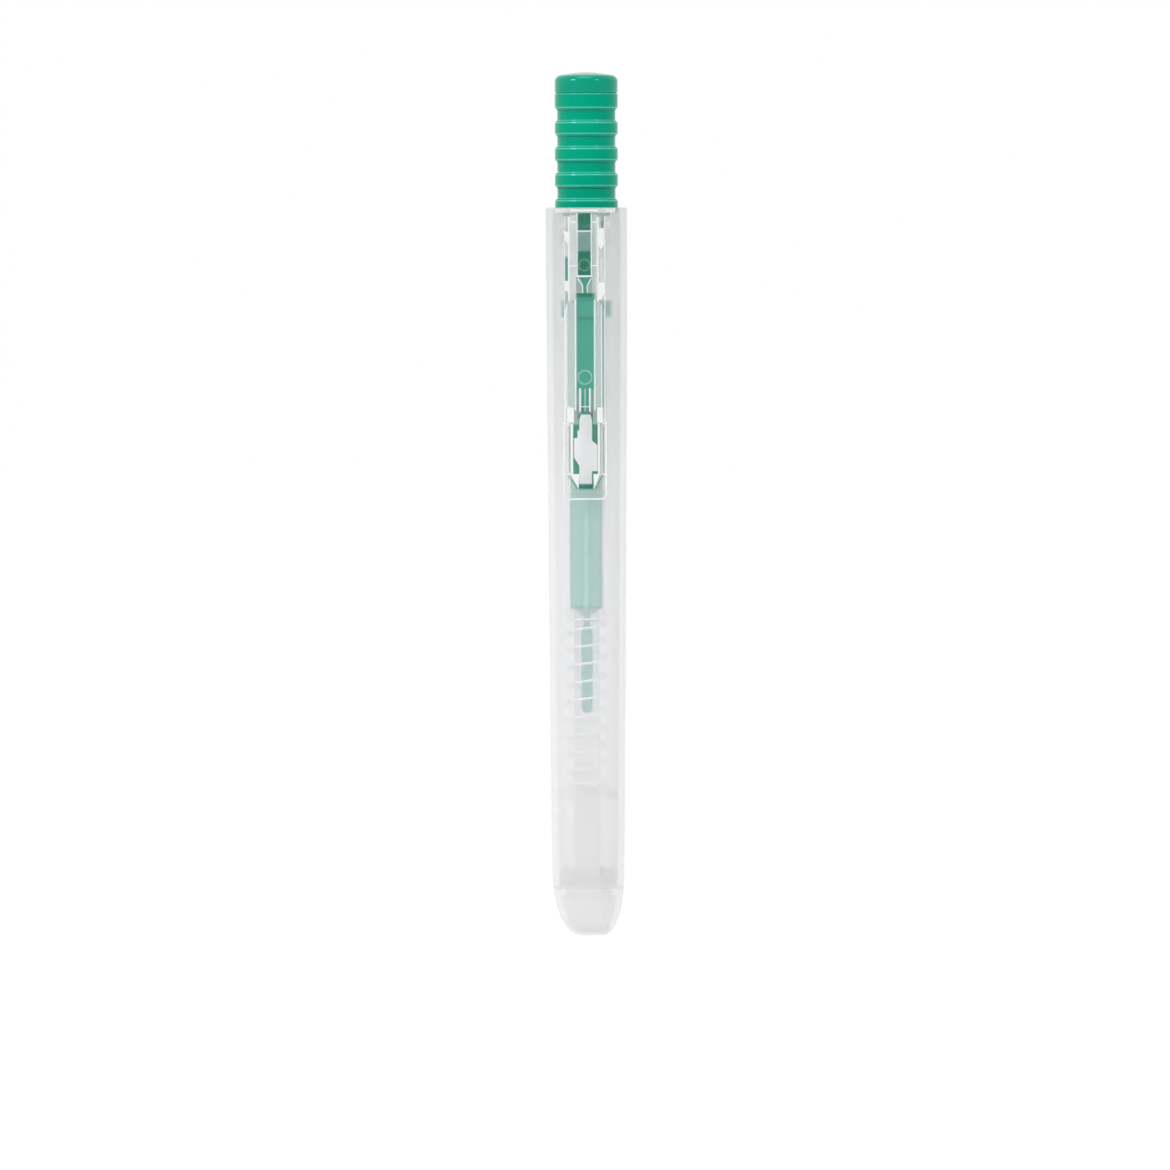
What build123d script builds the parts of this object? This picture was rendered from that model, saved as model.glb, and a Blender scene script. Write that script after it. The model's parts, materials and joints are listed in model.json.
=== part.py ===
"""Push-button correction tape roller, shaped like a pen.

A flat-sided frosted barrel holds a green push rod that carries a tape cartridge.
Pressing the ribbed knob slides the knob, the rod and the cartridge 14 mm down, so
that the tape roller comes out of the mouth in the nose; a coil spring returns them.
Two geared reels, the idler between them and the tip roller turn as tape is laid.
A clear clip is hinged at the top of the front face, and a white catch rocks in a
window below it.

Frame: millimetres, +Z up, nose on Z = 0, front face with the clip towards -Y,
origin in the middle of the bottom of the bounding box.
"""

import os
from math import acos, asin, cos, pi, radians, sin, sqrt, tan

from build123d import *

# ---------------------------------------------------------------- barrel
barrel_top = 121.2
barrel_half_width = 6.67
low_half_width = 5.92
front_y = -9.4
back_y = 12.4
wall = 1.1
corner_radius = 4.3
top_deck = 2.0
bore_clearance = 0.3
rim_round = 0.3

# side view: where the front and the back leave the straight, and where they end
nose_turn_z = 24.0
nose_front_y = -2.6
back_turn_z = 50.0
nose_back_y = 7.0
shoulder_drop = 18.2
shoulder_back_y = 7.2

# front view of the nose
nose_curve_z = 11.0
nose_flat_left = 1.0
nose_flat_right = 2.1
left_nose_handle = 0.58
right_nose_handle = 0.67
nose_cap_height = 7.8
spigot_height = 3.0
spigot_wall = 0.8
fit_gap = 0.05

# mouth of the nose
mouth_half_width = 3.4
mouth_lip = 2.2

# ---------------------------------------------------------------- knob
knob_radius = 5.25
groove_radius = 4.85
knob_wall = 1.2
skirt_below_rim = 0.9
skirt_above_rim = 1.4
groove_height = 1.95
rib_height = 2.38
groove_count = 4
rib_bevel = 0.22
sleeve_band = 2.66
cap_height = 3.5
cap_edge_radius = 1.1
cap_crown = 0.45
cap_plug_height = 3.0

# ---------------------------------------------------------------- push rod
travel = 14.0
rod_front_gap = 0.9
rod_depth = 3.1
flange_thickness = 0.5
flange_radius = 4.0
boss_height = 5.0
bridge_depth = 1.4
stem_length = 14.6
stem_half_width = 1.6
keyway_clearance = 0.15
left_fin_x = -3.2
right_fin_x = 2.67
fin_thickness = 0.5
left_fin_height = 7.4
right_fin_height = 4.6
deck_half_width = 4.1
deck_thickness = 2.7
deck_front_gap = 0.4
deck_back_y = 8.0
deck_corner = 1.6
body_length = 14.7
body_half_width = 3.3
shaft_length = 33.8
shaft_half_width = 2.62
web_depth = 1.6
rib_half_width = 0.45
cone_radius = 2.3
neck_length = 3.7
neck_radius = 0.5
neck_cone = 1.2
tail_flare = 1.3
tail_radius = 0.95
tail_length = 13.7

# ---------------------------------------------------------------- return spring
washer_radius = 3.4
spring_length = 28.8
spring_radius = 3.5
spring_wire = 0.45
spring_turns = 11
spring_end_quarters = 4
spring_end_pitch = 1.0
spring_wall_gap = 0.4
seat_thickness = 1.5
seat_back_gap = 0.3
seat_hole_clearance = 0.28

# ---------------------------------------------------------------- tape and gears
tape_width = 4.2
tape_thickness = 0.15
tape_offset_x = -0.2
tape_side_gap = 0.1
gear_module = 0.6
supply_teeth = 22
idler_teeth = 11
takeup_teeth = 16
gear_backlash = 0.14
pressure_angle = 20.0
tooth_height = 0.92
tooth_root = 1.25
gear_thickness = 0.75
reel_flange = 0.35
reel_y = 3.45
supply_drop = 12.0
supply_axle_radius = 1.25
idler_axle_radius = 0.8
takeup_axle_radius = 1.0
axle_clearance = 0.05
hub_wall = 0.75
supply_roll_radius = 6.9
takeup_roll_radius = 2.9
flange_inset = 0.5
clutch_ring_width = 1.1
clutch_ring_depth = 0.4

# ---------------------------------------------------------------- cartridge frame
plate_gap = 0.15
plate_thickness = 0.7
plate_front_y = -3.0
plate_back_y = 10.0
plate_corner = 2.0
plate_shoulder_drop = 9.0
neck_front_y = 0.5
neck_back_y = 6.5
neck_clearance = 1.7
post_radius = 0.6
post_fit = 0.02
guide_drop = 6.5
feed_guide_y = 7.2
return_guide_y = 1.3
ribbon_gap = 0.25

# ---------------------------------------------------------------- tape head
head_z = 10.3
head_roller_radius = 0.85
head_axle_radius = 0.4
head_side_gap = 0.1
head_loop_half = 1.12
head_loop_radius = 1.05
head_top_z = 34.0
head_bar_half = 0.75
head_bar_start = 2.1
cheek_half_depth = 1.6
cheek_end_radius = 0.8
cheek_taper = 6.0

# ---------------------------------------------------------------- clip
clip_half_width = 3.4
clip_foot_half_width = 3.6
clip_foot_length = 12.95
clip_thickness = 1.1
clip_stand = 1.9
clip_top_drop = 0.4
clip_length = 48.05
clip_corner = 1.1
clip_hinge_drop = 3.7
clip_hinge_stand = 1.2
clip_eye_radius = 1.0
clip_pin_radius = 0.5
clip_side_gap = 0.1
flange_strip = 0.4
flange_depth = 1.0
flange_top_gap = 3.5
flange_bottom_rise = 13.0
pad_rise = 2.4
pad_radius = 1.2
pad_half_width = 2.6
pad_gap = 0.3
upper_mark_radius = 1.0
lower_mark_radius = 1.17
mark_width = 0.18
mark_depth = 0.12
upper_mark_drop = 9.6
lower_mark_drop = 28.3
ear_thickness = 0.7
ear_radius = 1.15
ear_height = 5.2

# ---------------------------------------------------------------- front windows
upper_slot_half = 1.05
upper_slot_top_drop = 0.7
upper_slot_length = 10.7
funnel_length = 1.4
funnel_neck_half = 0.35
funnel_neck_length = 1.4
rod_slot_half = 1.4
narrow_slot_half = 0.7
narrow_slot_length = 4.0
catch_window_half = 2.05
catch_window_length = 8.4
catch_window_rise = 4.05
catch_neck_half = 1.2
catch_neck_length = 1.8
catch_foot_length = 2.4
left_slot_x = -3.12
right_slot_x = 2.67
side_slot_width = 0.45
side_slot_length = 4.1
side_slot_drop = 8.4
notch_length = 1.3
notch_drop = 2.4

# ---------------------------------------------------------------- catch
catch_thickness = 0.9
catch_column_half = 1.05
catch_top_half = 0.78
catch_top_chamfer = 0.9
catch_side_gap = 0.12
catch_top_gap = 0.15
catch_foot_gap = 0.75
step_half = 1.35
step_rise = 3.2
left_wing_rise = 1.95
right_wing_rise = 1.5
left_wing_drop = 1.3
right_wing_drop = 3.55
wing_slope = 1.35
right_wing_slope = 0.75
catch_knuckle_radius = 0.55
catch_pin_radius = 0.25
catch_pin_reach = 0.6
pin_clearance = 0.04

# ---------------------------------------------------------------- worked-out places
inner_front = front_y + wall
skirt_bottom = barrel_top - skirt_below_rim
skirt_top = barrel_top + skirt_above_rim
rib_pitch = groove_height + rib_height
sleeve_top = skirt_top + groove_count * rib_pitch - rib_height + sleeve_band
cap_top = sleeve_top + cap_height

rod_front = inner_front + rod_front_gap
rod_back = rod_front + rod_depth
deck_top = skirt_bottom - stem_length
deck_bottom = deck_top - deck_thickness
body_bottom = deck_bottom - body_length
shaft_bottom = body_bottom - shaft_length
washer_bottom = shaft_bottom - neck_cone
tail_top = shaft_bottom - neck_length
tail_end = tail_top - tail_length

spring_y = inner_front + spring_wall_gap + spring_radius
seat_top = washer_bottom - spring_length

supply_pitch_radius = gear_module * supply_teeth / 2
idler_pitch_radius = gear_module * idler_teeth / 2
takeup_pitch_radius = gear_module * takeup_teeth / 2
supply_z = deck_bottom - supply_drop
idler_z = supply_z - supply_pitch_radius - idler_pitch_radius
takeup_z = idler_z - idler_pitch_radius - takeup_pitch_radius

tape_left = tape_offset_x - tape_width / 2
tape_right = tape_offset_x + tape_width / 2
gear_left = tape_right + tape_side_gap
gear_right = gear_left + gear_thickness
reel_left = tape_left - tape_side_gap - reel_flange
plate_inner = gear_right + plate_gap
plate_outer = plate_inner + plate_thickness
supply_hub_radius = supply_axle_radius + axle_clearance + hub_wall
takeup_hub_radius = takeup_axle_radius + axle_clearance + hub_wall
plate_bottom = takeup_z - plate_shoulder_drop
guide_z = takeup_z - guide_drop
neck_end_z = nose_cap_height + spigot_height + travel + neck_clearance

clip_top = barrel_top - clip_top_drop
clip_bottom = clip_top - clip_length
clip_inner = front_y - clip_stand
clip_outer = clip_inner - clip_thickness
hinge_z = barrel_top - clip_hinge_drop
hinge_y = front_y - clip_hinge_stand
ear_inner = clip_half_width + clip_side_gap
ear_outer = ear_inner + ear_thickness

upper_slot_top = barrel_top - upper_slot_top_drop
funnel_top = upper_slot_top - upper_slot_length
funnel_bottom = funnel_top - funnel_length
rod_slot_top = funnel_bottom - funnel_neck_length
catch_window_bottom = clip_bottom + catch_window_rise
catch_window_top = catch_window_bottom + catch_window_length
catch_foot_bottom = catch_window_bottom - catch_foot_length
catch_neck_top = catch_window_top + catch_neck_length
rod_slot_bottom = catch_neck_top + narrow_slot_length
catch_z = (catch_window_top + catch_window_bottom) / 2
catch_front = front_y + (wall - catch_thickness) / 2
catch_y = catch_front + catch_knuckle_radius

far = 60.0
overcut = 1.0


# ---------------------------------------------------------------- helpers
def slab(z_low, z_high, half_width, y_front, y_back, mode=Mode.ADD):
    """A block centred on X, between two heights and two depths."""
    with BuildSketch(Plane.XY.offset(z_low)) as section:
        with Locations((0, (y_front + y_back) / 2)):
            Rectangle(2 * half_width, y_back - y_front)
    extrude(section.sketch, amount=z_high - z_low, mode=mode)


def upright(z_low, z_high, radius, y, mode=Mode.ADD):
    """A round column on the middle plane."""
    with BuildSketch(Plane.XY.offset(z_low)) as section:
        with Locations((0, y)):
            Circle(radius)
    extrude(section.sketch, amount=z_high - z_low, mode=mode)


def crosswise(x_low, x_high, radius, y, z, mode=Mode.ADD):
    """A round bar along X."""
    with BuildSketch(Plane.YZ.offset(x_low)) as section:
        with Locations((y, z)):
            Circle(radius)
    extrude(section.sketch, amount=x_high - x_low, mode=mode)


def side_block(x_low, x_high, y_front, y_back, z_low, z_high, mode=Mode.ADD):
    """A block given by its limits along X, Y and Z."""
    with BuildSketch(Plane.YZ.offset(x_low)) as section:
        with Locations(((y_front + y_back) / 2, (z_low + z_high) / 2)):
            Rectangle(y_back - y_front, z_high - z_low)
    extrude(section.sketch, amount=x_high - x_low, mode=mode)


def bend_radius(shift, height):
    """Radius of the arc that leaves a straight line and moves shift over height."""
    return (shift**2 + height**2) / (2 * shift)


def bend_y(edge_y, inward, radius, turn_z, z, inset):
    """Y of a side-view arc at height z, drawn in by inset; inward is +1 or -1."""
    reach = sqrt((radius - inset) ** 2 - (z - turn_z) ** 2)
    return edge_y + inward * (radius - reach)


def half_width_at(z, inset):
    """Half the barrel's width at height z, drawn in by inset."""
    slope = (barrel_half_width - low_half_width) / (barrel_top - nose_curve_z)
    return low_half_width + slope * (z - nose_curve_z) - inset


def body_block(inset, z_high):
    """The barrel and nose as one solid, drawn in by inset and cut off at z_high."""
    front_bend = bend_radius(nose_front_y - front_y, nose_turn_z)
    back_bend = bend_radius(back_y - nose_back_y, back_turn_z)
    shoulder_bend = bend_radius(back_y - shoulder_back_y, shoulder_drop)
    shoulder_z = barrel_top - shoulder_drop

    def front_at(z):
        return (bend_y(front_y, 1, front_bend, nose_turn_z, z, inset), z)

    def back_at(z):
        return (bend_y(back_y, -1, back_bend, back_turn_z, z, inset), z)

    def shoulder_at(z):
        return (bend_y(back_y, -1, shoulder_bend, shoulder_z, z, inset), z)

    with BuildPart() as block:
        with BuildSketch(Plane.YZ):
            with BuildLine():
                Line((front_y + inset, z_high), (front_y + inset, nose_turn_z))
                ThreePointArc(front_at(nose_turn_z), front_at(nose_turn_z / 2), front_at(inset))
                Line(front_at(inset), back_at(inset))
                ThreePointArc(back_at(inset), back_at(back_turn_z / 2), back_at(back_turn_z))
                Line(back_at(back_turn_z), shoulder_at(shoulder_z))
                middle = (shoulder_z + z_high) / 2
                ThreePointArc(shoulder_at(shoulder_z), shoulder_at(middle), shoulder_at(z_high))
                Line(shoulder_at(z_high), (front_y + inset, z_high))
            make_face()
        extrude(amount=far, both=True)
        with BuildSketch(Plane.XZ):
            with BuildLine():
                top_half = half_width_at(z_high, inset)
                low_half = half_width_at(0, inset)
                Polyline(
                    (-top_half, z_high), (top_half, z_high), (low_half, 0), (-low_half, 0),
                    close=True,
                )
            make_face()
        extrude(amount=far, both=True, mode=Mode.INTERSECT)
        upright_edges = block.edges().filter_by(lambda edge: edge.bounding_box().size.Z > wall)
        fillet(upright_edges, corner_radius - inset)
        add(nose_prism(inset, z_high), mode=Mode.INTERSECT)
    return block.part


def nose_prism(inset, z_high):
    """Front view of the barrel with its rounded nose, drawn through from front to back."""
    side = half_width_at(nose_curve_z, inset)
    left_drop = left_nose_handle * (nose_curve_z - inset)
    right_drop = right_nose_handle * (nose_curve_z - inset)
    left_side = half_width_at(nose_curve_z - left_drop, inset)
    right_side = half_width_at(nose_curve_z - right_drop, inset)
    left_reach = nose_flat_left + left_nose_handle * (side - nose_flat_left)
    right_reach = nose_flat_right + right_nose_handle * (side - nose_flat_right)
    with BuildPart() as prism:
        with BuildSketch(Plane.XZ):
            with BuildLine():
                top_half = half_width_at(z_high, inset)
                Line((-top_half, z_high), (top_half, z_high))
                Line((top_half, z_high), (side, nose_curve_z))
                Bezier(
                    (side, nose_curve_z), (right_side, nose_curve_z - right_drop),
                    (right_reach, inset), (nose_flat_right, inset),
                )
                Line((nose_flat_right, inset), (-nose_flat_left, inset))
                Bezier(
                    (-nose_flat_left, inset), (-left_reach, inset),
                    (-left_side, nose_curve_z - left_drop), (-side, nose_curve_z),
                )
                Line((-side, nose_curve_z), (-top_half, z_high))
            make_face()
        extrude(amount=far, both=True)
    return prism.part


def involute(angle):
    return tan(angle) - angle


def gear_points(teeth, first_tooth, centre):
    """Outline of an involute spur gear with one tooth centred on first_tooth, in degrees."""
    pitch_radius = gear_module * teeth / 2
    base_radius = pitch_radius * cos(radians(pressure_angle))
    tip_radius = pitch_radius + tooth_height * gear_module
    root_radius = pitch_radius - tooth_root * gear_module
    half_tooth = (pi * gear_module / 2 - gear_backlash) / (2 * pitch_radius)
    half_at_base = half_tooth + involute(radians(pressure_angle))
    flank = [(root_radius, half_at_base)] if root_radius < base_radius else []
    start_radius = max(base_radius, root_radius)
    for step in range(4):
        radius = start_radius + (tip_radius - start_radius) * step / 3
        flank.append((radius, half_at_base - involute(acos(base_radius / radius))))
    points = []
    for tooth in range(teeth):
        middle = radians(first_tooth + 360 * tooth / teeth)
        rising = [(radius, middle - half) for radius, half in flank]
        falling = [(radius, middle + half) for radius, half in reversed(flank)]
        for radius, angle in rising + falling:
            points.append((centre[0] + radius * cos(angle), centre[1] + radius * sin(angle)))
    return points


def meshing_tooth(teeth, first_tooth, next_teeth):
    """Angle of a tooth on the gear below, so that the two mesh on the line straight down."""
    phase = (-90 - first_tooth) * teeth / 360
    return 90 - (0.5 - phase) * 360 / next_teeth


def gear(teeth, first_tooth, y, z):
    """A toothed disc on the gear plane."""
    with BuildSketch(Plane.YZ.offset(gear_left)) as outline:
        with BuildLine():
            Polyline(*gear_points(teeth, first_tooth, (y, z)), close=True)
        make_face()
    extrude(outline.sketch, amount=gear_thickness)


supply_first_tooth = -90.0
idler_first_tooth = meshing_tooth(supply_teeth, supply_first_tooth, idler_teeth)
takeup_first_tooth = meshing_tooth(idler_teeth, idler_first_tooth, takeup_teeth)

outer_block = body_block(0, barrel_top)
cavity_block = body_block(wall, barrel_top - top_deck)

# ---------------------------------------------------------------- barrel
with BuildPart() as barrel:
    add(outer_block)
    split(bisect_by=Plane.XY.offset(nose_cap_height), keep=Keep.TOP)
    fillet(barrel.faces().sort_by(Axis.Z)[-1].edges(), rim_round)
    for side in (-1, 1):
        ear_start = min(side * ear_inner, side * ear_outer)
        ear_end = ear_start + ear_thickness
        crosswise(ear_start, ear_end, ear_radius, hinge_y, hinge_z)
        side_block(
            ear_start, ear_end, hinge_y, inner_front,
            hinge_z - ear_height / 2, hinge_z + ear_height / 2,
        )
    crosswise(-ear_outer, ear_outer, clip_pin_radius, hinge_y, hinge_z, mode=Mode.SUBTRACT)
    add(cavity_block, mode=Mode.SUBTRACT)
    bore_low = barrel_top - top_deck - overcut
    upright(bore_low, barrel_top + overcut, knob_radius + bore_clearance, 0, mode=Mode.SUBTRACT)
    slab(
        bore_low, barrel_top + overcut, stem_half_width + keyway_clearance,
        rod_front - keyway_clearance, 0, mode=Mode.SUBTRACT,
    )
    with BuildSketch(Plane.XZ.offset(-inner_front)) as windows:
        with Locations((0, (upper_slot_top + funnel_top) / 2)):
            Rectangle(2 * upper_slot_half, upper_slot_length)
        with BuildLine():
            Polyline(
                (-upper_slot_half, funnel_top), (upper_slot_half, funnel_top),
                (funnel_neck_half, funnel_bottom), (funnel_neck_half, rod_slot_top),
                (-funnel_neck_half, rod_slot_top), (-funnel_neck_half, funnel_bottom),
                close=True,
            )
        make_face()
        with Locations((0, (rod_slot_top + rod_slot_bottom) / 2)):
            Rectangle(2 * rod_slot_half, rod_slot_top - rod_slot_bottom)
        with Locations((0, (rod_slot_bottom + catch_neck_top) / 2)):
            Rectangle(2 * narrow_slot_half, narrow_slot_length)
        with Locations((0, catch_z)):
            Rectangle(2 * catch_window_half, catch_window_length)
        with Locations((0, (catch_neck_top + catch_foot_bottom) / 2)):
            Rectangle(2 * catch_neck_half, catch_neck_top - catch_foot_bottom)
        side_slot_z = barrel_top - side_slot_drop - side_slot_length / 2
        with Locations((left_slot_x, side_slot_z), (right_slot_x, side_slot_z)):
            Rectangle(side_slot_width, side_slot_length)
        with Locations((right_slot_x, barrel_top - notch_drop - notch_length / 2)):
            Rectangle(side_slot_width, notch_length)
    extrude(amount=2 * wall, both=True, mode=Mode.SUBTRACT)
    pin_end = catch_window_half + catch_pin_reach
    crosswise(-pin_end, pin_end, catch_pin_radius, catch_y, catch_z, mode=Mode.SUBTRACT)
barrel.part.label = "barrel"

# ---------------------------------------------------------------- nose cap
with BuildPart() as spigot_plug:
    add(body_block(wall + fit_gap, barrel_top))
    split(bisect_by=Plane.XY.offset(nose_cap_height + spigot_height), keep=Keep.BOTTOM)

with BuildPart() as nose_hollow:
    add(cavity_block)
    split(bisect_by=Plane.XY.offset(nose_cap_height - spigot_height / 2), keep=Keep.BOTTOM)
    add(body_block(wall + fit_gap + spigot_wall, barrel_top))

with BuildPart() as nose_cap:
    add(outer_block)
    split(bisect_by=Plane.XY.offset(nose_cap_height), keep=Keep.BOTTOM)
    add(spigot_plug.part)
    add(nose_hollow.part, mode=Mode.SUBTRACT)
    mouth_front = nose_front_y + mouth_lip
    mouth_back = nose_back_y - wall
    slab(
        -overcut, 2 * wall + overcut, mouth_half_width, mouth_front, mouth_back,
        mode=Mode.SUBTRACT,
    )
nose_cap.part.label = "nose_cap"

# ---------------------------------------------------------------- knob
with BuildPart() as knob_sleeve:
    with BuildSketch(Plane.XZ):
        with BuildLine():
            bore = groove_radius - knob_wall
            outline = [(bore, skirt_bottom), (knob_radius, skirt_bottom)]
            for groove in range(groove_count):
                low = skirt_top + groove * rib_pitch
                outline += [
                    (knob_radius, low - rib_bevel), (knob_radius - rib_bevel, low),
                    (groove_radius, low), (groove_radius, low + groove_height),
                    (knob_radius - rib_bevel, low + groove_height),
                    (knob_radius, low + groove_height + rib_bevel),
                ]
            outline += [(knob_radius, sleeve_top), (bore, sleeve_top)]
            Polyline(*outline, close=True)
        make_face()
    revolve(axis=Axis.Z)
knob_sleeve.part.label = "knob_sleeve"

with BuildPart() as knob_cap:
    with BuildSketch(Plane.XZ):
        with BuildLine():
            plug_radius = bore - fit_gap
            plug_low = sleeve_top - cap_plug_height
            shoulder = cap_top - cap_crown - cap_edge_radius
            edge_centre = (knob_radius - cap_edge_radius, shoulder)
            Polyline(
                (0, cap_top), (0, plug_low), (plug_radius, plug_low), (plug_radius, sleeve_top),
                (knob_radius - rib_bevel, sleeve_top), (knob_radius, sleeve_top + rib_bevel),
                (knob_radius, shoulder),
            )
            CenterArc(edge_centre, cap_edge_radius, 0, 90)
            crown_radius = bend_radius(cap_crown, edge_centre[0])
            half_sweep = asin(edge_centre[0] / crown_radius) / 2
            crown_middle = (
                crown_radius * sin(half_sweep), cap_top - crown_radius * (1 - cos(half_sweep)),
            )
            ThreePointArc((edge_centre[0], cap_top - cap_crown), crown_middle, (0, cap_top))
        make_face()
    revolve(axis=Axis.Z)
knob_cap.part.label = "knob_cap"

# ---------------------------------------------------------------- push rod
def taper(z_high, high_radius, z_low, low_radius, mode=Mode.ADD):
    """A cone on the spring's line between two heights."""
    with BuildSketch(Plane.XY.offset(z_high)) as top:
        with Locations((0, spring_y)):
            Circle(high_radius)
    with BuildSketch(Plane.XY.offset(z_low)) as foot:
        with Locations((0, spring_y)):
            Circle(low_radius)
    loft([top.sketch, foot.sketch], ruled=True, mode=mode)


with BuildPart() as push_rod:
    upright(skirt_bottom, skirt_bottom + boss_height, bore - fit_gap, 0)
    upright(skirt_bottom - flange_thickness, skirt_bottom, flange_radius, 0)
    slab(skirt_bottom - bridge_depth, skirt_bottom, stem_half_width, rod_front, 0)
    slab(deck_top, skirt_bottom, stem_half_width, rod_front, rod_back)
    side_block(
        left_fin_x - fin_thickness / 2, left_fin_x + fin_thickness / 2,
        rod_front, rod_back, deck_top, deck_top + left_fin_height,
    )
    side_block(
        right_fin_x - fin_thickness / 2, right_fin_x + fin_thickness / 2,
        -flange_radius / 2, flange_radius / 2, skirt_bottom - right_fin_height, skirt_bottom,
    )
    with BuildSketch(Plane.XY.offset(deck_bottom)) as deck:
        deck_front = inner_front + deck_front_gap
        with Locations((0, (deck_front + deck_back_y) / 2)):
            RectangleRounded(2 * deck_half_width, deck_back_y - deck_front, deck_corner)
    extrude(deck.sketch, amount=deck_thickness)
    slab(body_bottom, deck_bottom, body_half_width, rod_front, rod_back)
    web_middle = spring_y
    slab(
        shaft_bottom, body_bottom, shaft_half_width,
        web_middle - web_depth / 2, web_middle + web_depth / 2,
    )
    slab(shaft_bottom, body_bottom, rib_half_width, rod_front, rod_back)
    upright(tail_top, shaft_bottom, neck_radius, spring_y)
    taper(shaft_bottom, cone_radius, washer_bottom, neck_radius)
    taper(tail_top + tail_flare, neck_radius, tail_top, tail_radius)
    upright(tail_end + tail_radius, tail_top, tail_radius, spring_y)
    with Locations((0, spring_y, tail_end + tail_radius)):
        Sphere(tail_radius)
push_rod.part.label = "push_rod"

with BuildPart() as spring_washer:
    upright(washer_bottom, shaft_bottom, washer_radius, spring_y)
    taper(
        shaft_bottom, cone_radius + fit_gap, washer_bottom, neck_radius + fit_gap,
        mode=Mode.SUBTRACT,
    )
spring_washer.part.label = "spring_washer"

# ---------------------------------------------------------------- spring seat
with BuildPart() as spring_seat:
    add(body_block(wall + fit_gap, barrel_top))
    split(bisect_by=Plane.XY.offset(seat_top), keep=Keep.BOTTOM)
    split(bisect_by=Plane.XY.offset(seat_top - seat_thickness), keep=Keep.TOP)
    seat_back = spring_y + spring_radius + seat_back_gap
    slab(0, barrel_top, far, seat_back, far, mode=Mode.SUBTRACT)
    upright(0, barrel_top, tail_radius + seat_hole_clearance, spring_y, mode=Mode.SUBTRACT)
spring_seat.part.label = "spring_seat"


# ---------------------------------------------------------------- return spring
def spring_nodes():
    """Points and directions of the coil's centre line at each quarter turn."""
    quarters = 4 * spring_turns
    end_rise = spring_end_pitch / 4
    height = spring_length - spring_wire
    middle_rise = (height - 2 * spring_end_quarters * end_rise) / (quarters - 2 * spring_end_quarters)
    rises = [
        end_rise if min(step, quarters - 1 - step) < spring_end_quarters else middle_rise
        for step in range(quarters)
    ]
    mean_radius = spring_radius - spring_wire / 2
    nodes = []
    z = seat_top + spring_wire / 2
    for step in range(quarters + 1):
        slope = (rises[max(step - 1, 0)] + rises[min(step, quarters - 1)]) / 2
        angle = step * pi / 2
        point = Vector(mean_radius * cos(angle), spring_y + mean_radius * sin(angle), z)
        run = mean_radius * pi / 2
        nodes.append((point, Vector(-run * sin(angle), run * cos(angle), slope).normalized()))
        z += rises[min(step, quarters - 1)]
    return nodes


def arc_middle(start, direction, end):
    """Middle of the arc that leaves start along direction and ends at end."""
    chord = end - start
    across = direction - chord * (direction.dot(chord) / chord.dot(chord))
    turn = asin(min(1.0, across.length))
    return start + chord / 2 + across.normalized() * (chord.length / 2 * tan(turn / 2))


def biarc(start, start_way, end, end_way):
    """Three-point data of the two arcs that join two points along given directions."""
    chord = end - start
    ways = start_way + end_way
    spread = 2 * (1 - start_way.dot(end_way))
    along = chord.dot(ways)
    reach = (sqrt(along**2 + spread * chord.dot(chord)) - along) / spread
    joint = (start + start_way * reach + end - end_way * reach) / 2
    return [
        (start, arc_middle(start, start_way, joint), joint),
        (joint, arc_middle(end, end_way * -1, joint), end),
    ]


coil = spring_nodes()
with BuildPart() as return_spring:
    with BuildLine() as coil_line:
        for (start, start_way), (end, end_way) in zip(coil, coil[1:]):
            for arc in biarc(start, start_way, end, end_way):
                ThreePointArc(*arc)
    with BuildSketch(Plane(origin=coil[0][0], z_dir=coil[0][1])):
        Circle(spring_wire / 2)
    sweep(path=coil_line.wire())
return_spring.part.label = "return_spring"

coil_gaps = [
    (coil[low][0] - coil[high][0]).length - spring_wire
    for low in range(len(coil))
    for high in range(low + 3, len(coil))
]
print("return_spring: least gap between turns", round(min(coil_gaps), 3), "mm")


# ---------------------------------------------------------------- cartridge plates
def cartridge_plate(x_low):
    """One side plate of the tape cartridge, with holes for the axles and posts."""
    with BuildPart() as plate:
        with BuildSketch(Plane.YZ.offset(x_low)):
            with BuildLine():
                Polyline(
                    (plate_front_y, deck_bottom), (plate_back_y, deck_bottom),
                    (plate_back_y, plate_bottom + plate_corner),
                    (plate_back_y - plate_corner, plate_bottom),
                    (neck_back_y, plate_bottom), (neck_back_y, neck_end_z),
                    (neck_front_y, neck_end_z), (neck_front_y, plate_bottom),
                    (plate_front_y + plate_corner, plate_bottom),
                    (plate_front_y, plate_bottom + plate_corner), close=True,
                )
            make_face()
            for y, z, radius in axle_places:
                with Locations((y, z)):
                    Circle(radius + post_fit, mode=Mode.SUBTRACT)
        extrude(amount=plate_thickness)
    return plate


post_places = [
    (feed_guide_y, guide_z), (return_guide_y, guide_z),
    (plate_back_y - plate_corner, deck_bottom - plate_corner),
    (plate_front_y + plate_corner, deck_bottom - plate_corner),
    (reel_y, head_top_z - plate_corner),
]
axle_places = [(y, z, post_radius) for y, z in post_places]
axle_places += [
    (reel_y, supply_z, supply_axle_radius), (reel_y, idler_z, idler_axle_radius),
    (reel_y, takeup_z, takeup_axle_radius),
]

cartridge_left = cartridge_plate(-plate_outer)
cartridge_left.part.label = "cartridge_left"
cartridge_right = cartridge_plate(plate_inner)
cartridge_right.part.label = "cartridge_right"

with BuildPart() as guide_posts:
    for y, z in post_places:
        crosswise(-plate_outer, plate_outer, post_radius, y, z)
guide_posts.part.label = "guide_posts"


def axle(radius, z):
    """A plain axle held by both plates."""
    with BuildPart() as shaft:
        crosswise(-plate_outer, plate_outer, radius, reel_y, z)
    return shaft


supply_axle = axle(supply_axle_radius, supply_z)
supply_axle.part.label = "supply_axle"
idler_axle = axle(idler_axle_radius, idler_z)
idler_axle.part.label = "idler_axle"
takeup_axle = axle(takeup_axle_radius, takeup_z)
takeup_axle.part.label = "takeup_axle"


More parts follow.
